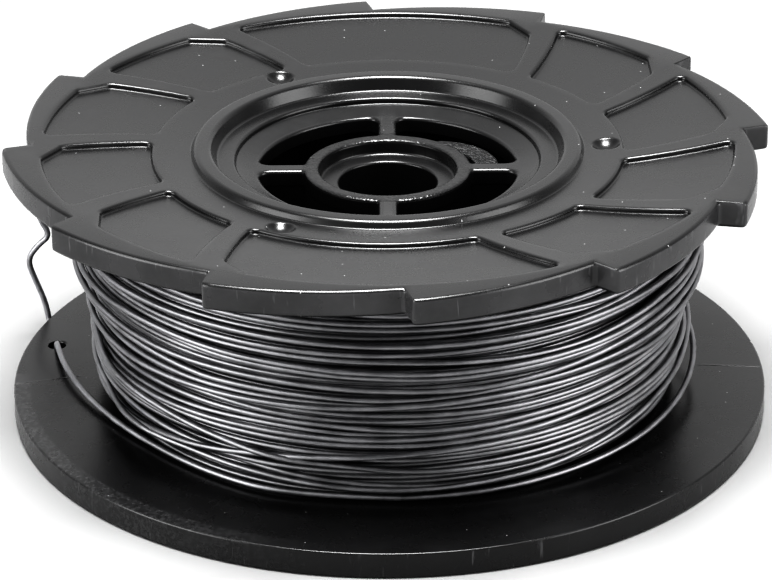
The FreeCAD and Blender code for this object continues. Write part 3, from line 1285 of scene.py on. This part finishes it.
    def gate_cutter(self, direction: float) -> Object:
        """Cutter of one gate's hollow, with a lip that runs out into the face.

        Args:
            direction: Where the gate lies, in degrees.

        Returns:
            The cutter, in its place.
        """
        ball, lip_r, lip_angle = self.gate_ball_r, self.gate_lip_r, math.radians(self.gate_lip_angle)
        outline = []
        for i in range(9):
            angle = math.radians(self.gate_lip_angle * i / 8.0)
            level = -self.gate_sink + ball * (1.0 - math.cos(angle))
            outline.append(Vector((ball * math.sin(angle), level)))
        centre = outline[-1] + Vector((math.sin(lip_angle), -math.cos(lip_angle))) * lip_r
        for i in range(1, 6):
            angle = math.radians(self.gate_lip_angle * (1.0 - i / 5.0))
            outline.append(centre + Vector((-math.sin(angle), math.cos(angle))) * lip_r)
        rise = outline[-1].y
        outline = [Vector((point.x, point.y - rise + SKIN)) for point in outline]
        outline.append(Vector((outline[-1].x + 5 * TINY, 2 * TINY)))
        outline.append(Vector((outline[-1].x, CUT_OVERSHOOT)))
        outline.append(Vector((0.0, CUT_OVERSHOOT)))
        cutter = lathe("gate", outline, 48, closed=False)
        slope = math.atan2(self.dish, self.land_r - self.ring_outer_r)
        face = Vector((self.gate_circle_r, 0.0, self.top(self.gate_circle_r)))
        move_piece(cutter, about_z(direction) @ Matrix.Translation(face)
                   @ Matrix.Rotation(-slope, 4, "Y"))
        return cutter

    def wire_hole_cutters(self) -> list[Object]:
        """Cutters of the hole through the lower flange and of the notch below it.

        Returns:
            The two cutters, in their places.
        """
        top = self.flange_inner_height(self.hole_circle_r)
        outline = [Vector((0.0, -CUT_OVERSHOOT)), Vector((self.hole_r, -CUT_OVERSHOOT))]
        for i in range(5):
            angle = math.radians(90.0 * i / 4.0)
            outline.append(Vector((self.hole_r + self.hole_lip * (1.0 - math.cos(angle)),
                                   top + 2 * TINY - self.hole_lip + self.hole_lip * math.sin(angle))))
        outline.append(Vector((outline[-1].x, top + CUT_OVERSHOOT)))
        outline.append(Vector((0.0, top + CUT_OVERSHOOT)))
        hole = lathe("wire_hole", outline, 40, closed=False)
        centre = Matrix.Translation(polar(self.hole_circle_r, self.hole_direction))
        move_piece(hole, centre)
        half, length = self.notch_w / 2.0, self.notch_length
        corners = ((0.0, -half), (length, -half), (length, half), (0.0, half))
        notch = prism("notch", [Vector(p) for p in corners], -CUT_OVERSHOOT,
                      CUT_OVERSHOOT + self.notch_depth)
        move_piece(notch, centre @ about_z(self.notch_heading))
        return [hole, notch]

    def build(self) -> Object:
        """Model the spool.

        Returns:
            The finished mesh object.
        """
        body = lathe("spool_moulding", self.body_outline(), self.columns, self.tooth_start)
        edit(body)
        self.cut_teeth()
        self.sink_pockets()
        self.round_pockets()
        self.round_teeth()
        close_edit()
        cutters = [self.gate_cutter(direction) for direction in self.gate_directions]
        combine(body, cutters + self.wire_hole_cutters() + self.slot_cutters(), Joining.CUT)
        combine(body, self.ribs() + [self.anchor_bar()], Joining.UNITE)
        smooth(body, self.crease_angle)
        apply_modifier(body, "WEIGHTED_NORMAL", keep_sharp=True)
        body.data.materials.clear()
        body.data.materials.append(MouldedPlastic().material())
        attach(body, "root")
        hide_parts("spool")
        report(body)
        return body


def meets(point: Vector, spots: Sequence[Vector]) -> bool:
    """Whether a point, seen from above, lies on one of some spots."""
    return any((point.to_2d() - spot).length < 3 * TINY for spot in spots)


def arc_through(places: Sequence[Vector], segments: int) -> list[Vector]:
    """Points of the circular arc through three places seen from above.

    Args:
        places: Where it starts, a place on it, and where it ends.
        segments: Straight pieces along it.

    Returns:
        The arc's points, ends included.
    """
    a, b, c = (place.to_2d() for place in places)
    d = 2.0 * (a.x * (b.y - c.y) + b.x * (c.y - a.y) + c.x * (a.y - b.y))
    sa, sb, sc = a.length_squared, b.length_squared, c.length_squared
    centre = Vector(((sa * (b.y - c.y) + sb * (c.y - a.y) + sc * (a.y - b.y)) / d,
                     (sa * (c.x - b.x) + sb * (a.x - c.x) + sc * (b.x - a.x)) / d))
    radius = (a - centre).length
    start = math.atan2(a.y - centre.y, a.x - centre.x)
    sweep = wrapped(math.degrees(math.atan2(c.y - centre.y, c.x - centre.x) - start))
    angles = [start + math.radians(sweep * i / segments) for i in range(segments + 1)]
    return [Vector((centre.x + radius * math.cos(angle), centre.y + radius * math.sin(angle)))
            for angle in angles]


# The wound wire


@dataclass
class Winding:
    """The wound wire: a plain core under three layers of real turns, the last of them slack."""

    wire_d: float = 0.8 * MM
    stations: int = 144
    foot_z: float = 4.75 * MM
    head_z: float = 32.95 * MM
    end_room: float = 0.1 * MM
    turns_per_layer: float = 24.5
    layers: int = 3
    layer_rises: tuple[float, ...] = (0.0, 1.1 * MM, 2.2 * MM)
    layer_drops: tuple[float, ...] = (0.0, 0.2 * MM, 0.5 * MM)
    wander: float = 0.75 * MM
    wander_turn: float = 0.30
    slow_share: float = 0.5
    slow_stretch: float = 3.7
    nestle: float = 0.25
    plan_pull: float = 0.10
    stiffness: float = 9.0
    swing_kept: float = 0.9
    reach_per_station: float = 0.10 * MM
    lift_per_station: float = 0.04 * MM
    slack_drift: float = 0.2 * MM
    seed: int = 11
    end_direction: float = -88.02
    core_bore: float = 29.1 * MM
    core_margin: float = 0.45 * MM
    core_clearance: float = 0.2 * MM
    core_wave: tuple[tuple[float, float], ...] = ((0.0, 0.3), (0.2, 0.08), (0.5, 0.0), (0.8, 0.08))
    core_columns: int = 120
    core_crease: float = 40.0
    floor_heights: tuple[float, ...] = (3.5, 5.6, 8.0, 16.0, 23.0, 31.0, 33.5)
    floor_radii: tuple[float, ...] = (36.3, 36.7, 37.1, 37.2, 38.7, 38.8, 37.4)
    slack: tuple[tuple[float, float, float], ...] = (
        (0.00, 37.62, 4.62),
        (0.04, 38.0, 4.72),
        (0.10, 38.6, 5.0),
        (0.16, 39.9, 5.8),
        (0.24, 40.6, 7.8),
        (0.31, 40.2, 9.6),
        (0.40, 39.4, 10.8),
        (0.55, 38.7, 11.0),
        (0.70, 38.6, 10.2),
        (0.78, 38.6, 8.9),
        (0.90, 38.3, 7.0),
        (1.00, 38.1, 5.8),
        (1.10, 38.7, 6.7),
        (1.20, 39.2, 9.6),
        (1.27, 39.2, 12.2),
        (1.40, 38.9, 13.7),
        (1.60, 38.8, 14.6),
        (1.75, 38.95, 14.8),
        (1.88, 38.7, 11.6),
        (2.00, 38.3, 8.6),
        (2.20, 0.0, 7.9),
    )

    def planned_heights(self) -> np.ndarray:
        """Height that each station of the wire aims for, from the first turn to the last.

        Returns:
            The heights.
        """
        per_layer = self.turns_per_layer * self.stations
        count = int(self.turns_per_layer * self.layers * self.stations)
        rng = np.random.default_rng(self.seed)
        index = np.arange(count)
        layer = (index / per_layer).astype(int)
        share = index / per_layer - layer
        lows = self.foot_z + np.array(self.layer_rises)[layer]
        highs = self.head_z - np.array(self.layer_drops)[layer]
        share = np.where(layer % 2 == 0, 1.0 - share, share)
        heights = lows + (highs - lows) * share
        knots = int(count / (self.wander_turn * self.stations)) + 4
        position = index / (self.wander_turn * self.stations)
        wander = smooth_noise(rng.normal(0.0, self.wander, knots), position)
        slow = smooth_noise(rng.normal(0.0, self.slow_share * self.wander, knots),
                            position / self.slow_stretch)
        return heights + wander + slow

    def slack_course(self, count: int) -> tuple[np.ndarray, np.ndarray]:
        """Course of the last, slack turns.

        Args:
            count: How many stations the wire has.

        Returns:
            Radius and height at each station, and zero before the slack turns.
        """
        left = (count - 1 - np.arange(count)) / self.stations
        turns, radii, heights = (np.array(column) for column in zip(*self.slack))
        course = [softened(np.interp(left, turns, values * MM, right=0.0), 15)
                  for values in (radii, heights)]
        course[1][left > turns[-1]] = 0.0
        return course[0], course[1]

    def floor_radius(self, z: np.ndarray) -> np.ndarray:
        """Radius of a wire that lies on the core at a height."""
        return np.interp(z, np.array(self.floor_heights) * MM, np.array(self.floor_radii) * MM)

    def contact_radius(self, z: np.ndarray, zs: np.ndarray, rs: np.ndarray) -> np.ndarray:
        """Radius at which a wire at each height rests on the wires below it.

        Args:
            z: Heights to try.
            zs: Heights of the wires already laid at this station.
            rs: Their radii.

        Returns:
            The lowest free radius for each height.
        """
        base = self.floor_radius(z)
        if len(zs) == 0:
            return base
        gap = z[:, None] - zs[None, :]
        room = self.wire_d ** 2 - gap ** 2
        rest = np.where(room > 0.0, rs[None, :] + np.sqrt(np.maximum(room, 0.0)), 0.0)
        return np.maximum(base, rest.max(axis=1))

    def lay(self) -> np.ndarray:
        """Lay the wire station by station, each turn resting on the earlier ones.

        Returns:
            Radius and height of each station, one row each.
        """
        plan = self.planned_heights()
        count = len(plan)
        n = self.stations
        slack_r, slack_z = self.slack_course(count)
        turns = math.ceil(count / n)
        zs = np.zeros((turns, n))
        rs = np.zeros((turns, n))
        z = plan[0]
        slope = 0.0
        offsets = np.linspace(-self.reach_per_station, self.reach_per_station, 11)
        path = np.zeros((count, 2))
        for k in range(count):
            t, i = divmod(k, n)
            tries = np.clip(z + slope + offsets, self.foot_z - self.end_room, self.head_z + self.end_room)
            if slack_z[k] > 0.0:
                tries = np.array([z + np.clip(slack_z[k] - z, -self.slack_drift, self.slack_drift)])
            rest = self.contact_radius(tries, zs[:t, i], rs[:t, i])
            cost = (rest * self.nestle + self.plan_pull * (tries - plan[k]) ** 2 / MM
                    + self.stiffness * (tries - z - slope) ** 2 / MM)
            best = int(np.argmin(cost))
            slope = self.swing_kept * (tries[best] - z)
            z = tries[best]
            path[k] = max(rest[best], slack_r[k]), z
            zs[t, i] = z
            rs[t, i] = path[k, 0]
            if slack_z[k] == 0.0 and (i == n - 1 or slack_z[k + 1] > 0.0):
                first = max(0, k - n - 11)
                path[first:k + 1, 0] = self.eased(path[first:k + 1, 0])
                row = path[t * n:k + 1, 0]
                rs[t, :len(row)] = row
        loose = slack_z > 0.0
        path[loose] = softened(path, 9)[loose]
        path[-1] = self.slack[0][1] * MM, self.slack[0][2] * MM
        return path

    def eased(self, radii: np.ndarray) -> np.ndarray:
        """Spread out the bumps along the wire, since it is stiff and drawn tight.

        Args:
            radii: Radius at each station.

        Returns:
            The eased radii, none of them smaller than before.
        """
        out = radii.copy()
        for k in range(1, len(out)):
            out[k] = max(out[k], out[k - 1] - self.lift_per_station)
        for k in range(len(out) - 2, -1, -1):
            out[k] = max(out[k], out[k + 1] - self.lift_per_station)
        return np.maximum(softened(out, 7), radii)

    def build(self) -> list[Object]:
        """Model the core and the turns.

        Returns:
            The core and the turns.
        """
        path = self.lay()
        count = len(path)
        start = self.end_direction + 360.0 * (count - 1) / self.stations
        directions = np.radians(start - 360.0 * np.arange(count) / self.stations)
        points = np.column_stack([path[:, 0] * np.cos(directions), path[:, 0] * np.sin(directions),
                                  path[:, 1]])
        log.info("outermost wire surface at %.2f mm", (path[:, 0].max() + self.wire_d / 2.0) / MM)
        finish = AnnealedWire().material("annealed_turns")
        turns = wire_tube("wound_turns", points, self.wire_d, 2)
        core = self.core()
        for piece in (turns, core):
            piece.data.materials.clear()
            piece.data.materials.append(finish)
            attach(piece, "root")
            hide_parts("wire_coil")
            report(piece)
        return [turns, core]

    def core(self) -> Object:
        """Model the hidden turns as one ribbed barrel.

        Returns:
            The core.
        """
        foot = self.foot_z - self.core_margin
        head = self.head_z + self.core_margin
        rows = int((head - foot) / self.wire_d)
        pitch = (head - foot) / rows
        outline = [Vector((self.core_bore, foot))]
        for row in range(rows):
            for share, sink in self.core_wave:
                z = foot + (row + share) * pitch
                r = float(self.floor_radius(np.array([z]))[0]) - self.wire_d / 2.0
                outline.append(Vector((r - sink * self.wire_d - self.core_clearance, z)))
        outline.append(Vector((outline[-1].x, head)))
        outline.append(Vector((self.core_bore, head)))
        core = lathe("inner_turns", outline, self.core_columns)
        smooth(core, self.core_crease)
        return core


def smooth_noise(values: np.ndarray, position: np.ndarray) -> np.ndarray:
    """Values at knots joined by a smooth curve.

    Args:
        values: Value at each whole number.
        position: Where the curve is read.

    Returns:
        The curve at each position.
    """
    base = np.floor(position).astype(int)
    t = position - base
    p = [values[np.clip(base + k, 0, len(values) - 1)] for k in (-1, 0, 1, 2)]
    return 0.5 * (2.0 * p[1] + (p[2] - p[0]) * t + (2.0 * p[0] - 5.0 * p[1] + 4.0 * p[2] - p[3]) * t ** 2
                  + (3.0 * p[1] - p[0] - 3.0 * p[2] + p[3]) * t ** 3)


def softened(values: np.ndarray, width: int) -> np.ndarray:
    """Values along a line, averaged with their neighbours.

    Args:
        values: One row for each place on the line.
        width: How many places each average spans, an odd number.

    Returns:
        The averages, as many as there were values.
    """
    weights = np.hanning(width + 2)[1:-1]
    weights /= weights.sum()
    columns = values.reshape(len(values), -1)
    padded = np.pad(columns, ((width // 2, width // 2), (0, 0)), mode="edge")
    out = np.column_stack([np.convolve(column, weights, mode="valid") for column in padded.T])
    return out.reshape(values.shape)


def round_curve(name: str, kind: str, points: np.ndarray, diameter: float, resolution: int) -> Curve:
    """Curve of one spline with a round section and closed ends.

    Args:
        name: The curve's name.
        kind: The spline's type.
        points: The spline's points, one row each.
        diameter: The section's diameter.
        resolution: How finely the section is rounded.

    Returns:
        The curve.
    """
    curve = bpy.data.curves.new(name, "CURVE")
    curve.dimensions = "3D"
    curve.bevel_depth = diameter / 2.0
    curve.bevel_resolution = resolution
    curve.use_fill_caps = True
    spline = curve.splines.new(kind)
    spline.points.add(len(points) - 1)
    spline.points.foreach_set("co", np.column_stack([points, np.ones(len(points))]).ravel())
    return curve


def wire_tube(name: str, points: np.ndarray, diameter: float, resolution: int) -> Object:
    """Round wire along a line of points, as a mesh with closed ends.

    Args:
        name: The new piece's name.
        points: Points of the wire's middle line, one row each.
        diameter: The wire's thickness.
        resolution: How finely its section is rounded.

    Returns:
        The piece.
    """
    curve = round_curve(name, "POLY", points, diameter, resolution)
    curve.twist_mode = "Z_UP"
    focus(add_to_scene(name, curve))
    bpy.ops.object.convert(target="MESH")
    bpy.ops.object.shade_smooth()
    return bpy.context.object


# The free end


@dataclass
class WireEnd:
    """The wire's free end: over the flange, down its hole, round the rim and up in a bent loop."""

    diameter: float = 0.8 * MM
    length: float = 106.4 * MM
    # Lighter grey than the turns: painted light, standing in for the light that the free loop catches
    # from the left.
    finish: AnnealedWire = AnnealedWire(base=0.27, base_light=0.43, roughness=0.45)
    route: tuple[tuple[float, float, float], ...] = (
        (1.3, -37.6, 4.62),
        (-12.3, -37.0, 4.62),
        (-23.7, -30.1, 4.62),
        (-33.8, -18.9, 4.60),
        (-39.8, -9.2, 4.75),
        (-43.2, -1.2, 5.15),
        (-44.6, 4.9, 5.0),
        (-45.08, 8.05, 4.45),
        (-45.08, 8.05, 0.62),
        (-45.75, 12.9, 0.62),
        (-46.9, 19.9, 0.62),
        (-47.5, 20.3, 4.6),
        (-48.9, 20.2, 8.4),
        (-49.7, 20.0, 11.2),
        (-48.2, 19.9, 13.4),
        (-46.3, 19.8, 15.0),
        (-47.8, 19.7, 17.6),
        (-48.5, 19.5, 20.8),
    )

    def build(self) -> Object:
        """Model the free end as one smooth curve.

        Returns:
            The curve object.
        """
        curve = round_curve("wire_free_end", "NURBS", np.array(self.route) * MM, self.diameter, 4)
        curve.resolution_u = 16
        curve.splines[0].order_u = 3
        curve.splines[0].use_endpoint_u = True
        piece = add_to_scene("wire_free_end", curve)
        curve.materials.append(self.finish.material("annealed_free_end_painted_light"))
        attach(piece, "root")
        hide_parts("wire_end")
        report(piece)
        return piece


# Floor, light and camera


@dataclass(frozen=True)
class Softbox:
    """Rectangular soft light; its direction, elevation and distance are seen from the spool."""

    name: str
    direction: float
    elevation: float
    distance: float
    width: float
    height: float
    power: float

    def hang(self, aim: Sequence[float]) -> None:
        """Hang the light.

        Args:
            aim: The place that it faces.
        """
        light = bpy.data.lights.new(self.name, "AREA")
        light.shape = "RECTANGLE"
        light.size = self.width
        light.size_y = self.height
        light.energy = self.power
        box = add_to_scene(self.name, light)
        rise = math.radians(self.elevation)
        box.location = polar(self.distance * math.cos(rise), self.direction,
                             self.distance * math.sin(rise))
        box.rotation_euler = (Vector(aim) - box.location).to_track_quat("-Z", "Y").to_euler()


@dataclass
class Studio:
    """Pale floor, soft lights and the camera of the photograph."""

    floor_size: float = 6.0
    softboxes: tuple[Softbox, ...] = (
        Softbox("left_softbox", -156.0, 20.0, 0.75, 0.45, 0.55, 3.7),
        Softbox("right_softbox", -24.0, 20.0, 0.75, 0.45, 0.55, 3.5),
        Softbox("overhead_softbox", -90.0, 86.0, 0.9, 0.42, 0.45, 20.0),
    )
    sky_reach: float = 0.9
    sky_front: float = 0.20
    sky_back: float = 0.86
    lens: float = 174.79
    film_width: float = 36.0
    near_limit: float = 0.01
    distance: float = 496.36 * MM
    elevation: float = 25.17
    roll: float = -0.45
    aim: tuple[float, float, float] = (-0.34 * MM, 0.0, 15.54 * MM)

    def floor(self) -> None:
        """Lay the pale floor under the spool."""
        deselect_all()
        bpy.ops.mesh.primitive_plane_add(size=self.floor_size)
        floor = bpy.context.object
        floor.name = "floor"
        floor.data.materials.append(PaleFloor().material())

    def surroundings(self) -> None:
        """Set surroundings that are pale behind the spool and dark beside the camera."""
        world = bpy.data.worlds.new("pale_surroundings")
        world.use_nodes = True
        nodes = world.node_tree.nodes
        links = world.node_tree.links
        split = nodes.new("ShaderNodeSeparateXYZ")
        links.new(nodes.new("ShaderNodeTexCoord").outputs["Generated"], split.inputs[0])
        level = nodes.new("ShaderNodeMapRange")
        level.interpolation_type = "SMOOTHSTEP"
        limits = {"From Min": 0.0, "From Max": self.sky_reach,
                  "To Min": self.sky_front, "To Max": self.sky_back}
        for name, value in limits.items():
            level.inputs[name].default_value = value
        links.new(split.outputs["Y"], level.inputs["Value"])
        links.new(level.outputs["Result"], nodes["Background"].inputs["Strength"])
        nodes["Background"].inputs["Color"].default_value = (1.0, 1.0, 1.0, 1.0)
        bpy.context.scene.world = world
        bpy.context.scene.view_settings.view_transform = "Standard"
        bpy.context.scene.view_settings.look = "Very High Contrast"

    def camera(self) -> None:
        """Put the camera where the photograph was taken from."""
        tilt = math.radians(self.elevation)
        forward = Vector((0.0, math.cos(tilt), -math.sin(tilt)))
        right = Vector((1.0, 0.0, 0.0))
        up = right.cross(forward)
        spin = math.radians(self.roll)
        across = math.cos(spin) * right + math.sin(spin) * up
        above = -math.sin(spin) * right + math.cos(spin) * up
        place = Matrix((across, above, -forward)).transposed().to_4x4()
        place.translation = Vector(self.aim) - forward * self.distance
        data = bpy.data.cameras.new("photo_camera")
        data.lens = self.lens
        data.sensor_width = self.film_width
        data.clip_start = self.near_limit
        camera = add_to_scene("photo_camera", data)
        camera.matrix_world = place
        bpy.context.scene.camera = camera

    def build(self) -> None:
        """Set up floor, lights, surroundings and camera."""
        self.floor()
        for softbox in self.softboxes:
            softbox.hang(self.aim)
        self.surroundings()
        self.camera()


def main() -> None:
    """Build the studio, the free end, the winding and the spool."""
    logging.basicConfig(level=logging.INFO, format="%(name)s %(message)s")
    Studio().build()
    WireEnd().build()
    Winding().build()
    Spool().build()


if __name__ == "__main__":
    main()
